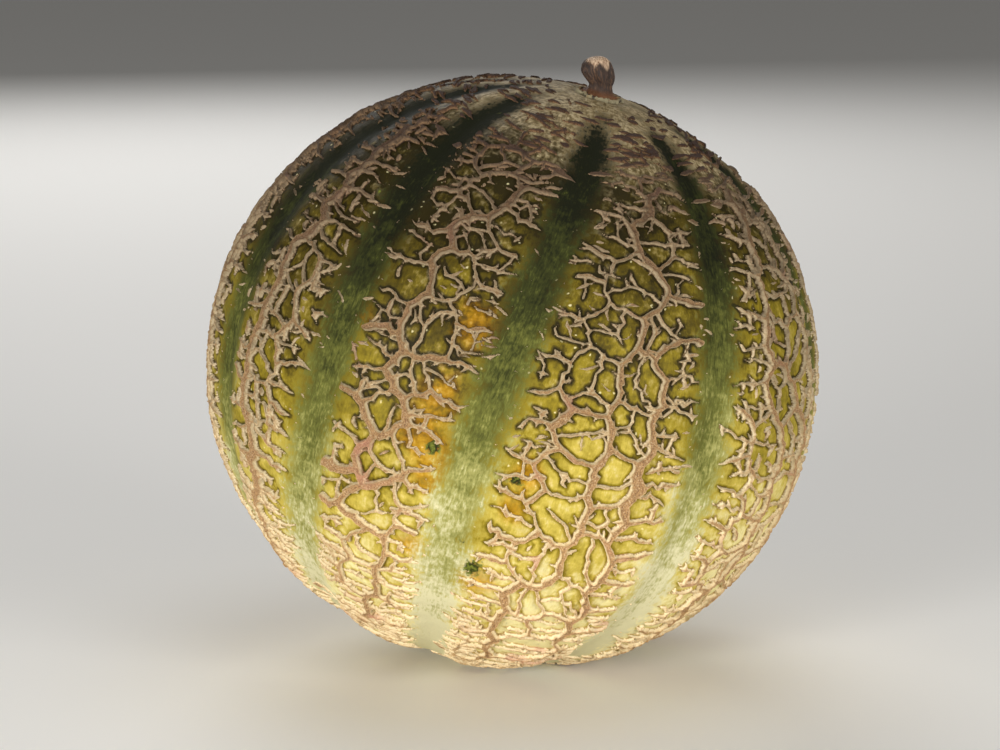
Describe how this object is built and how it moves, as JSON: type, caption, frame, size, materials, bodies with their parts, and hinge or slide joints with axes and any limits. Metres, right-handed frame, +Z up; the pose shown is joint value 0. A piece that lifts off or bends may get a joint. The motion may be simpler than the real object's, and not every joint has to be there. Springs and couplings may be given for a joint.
{
  "type": "netted melon",
  "caption": "Whole ribbed melon with a raised cork net, smooth furrows between its ribs and a dry stem stub, lying on a small flat spot.",
  "frame": {"origin": "on the surface the melon lies on, inside its flat resting spot and under the fruit's centre", "axes": "+Z up; -Y faces the side the picture shows; the stem leans towards +X and a little towards -Y"},
  "size_m": [0.1512, 0.1512, 0.1485],
  "materials": {
    "melon_rind": null,
    "dry_stem": "dry, dark brown, with a pale cut top"
  },
  "bodies": {
    "root": {"melon_fruit": "melon_rind", "stem_stub": "dry_stem"}
  },
  "joints": []
}
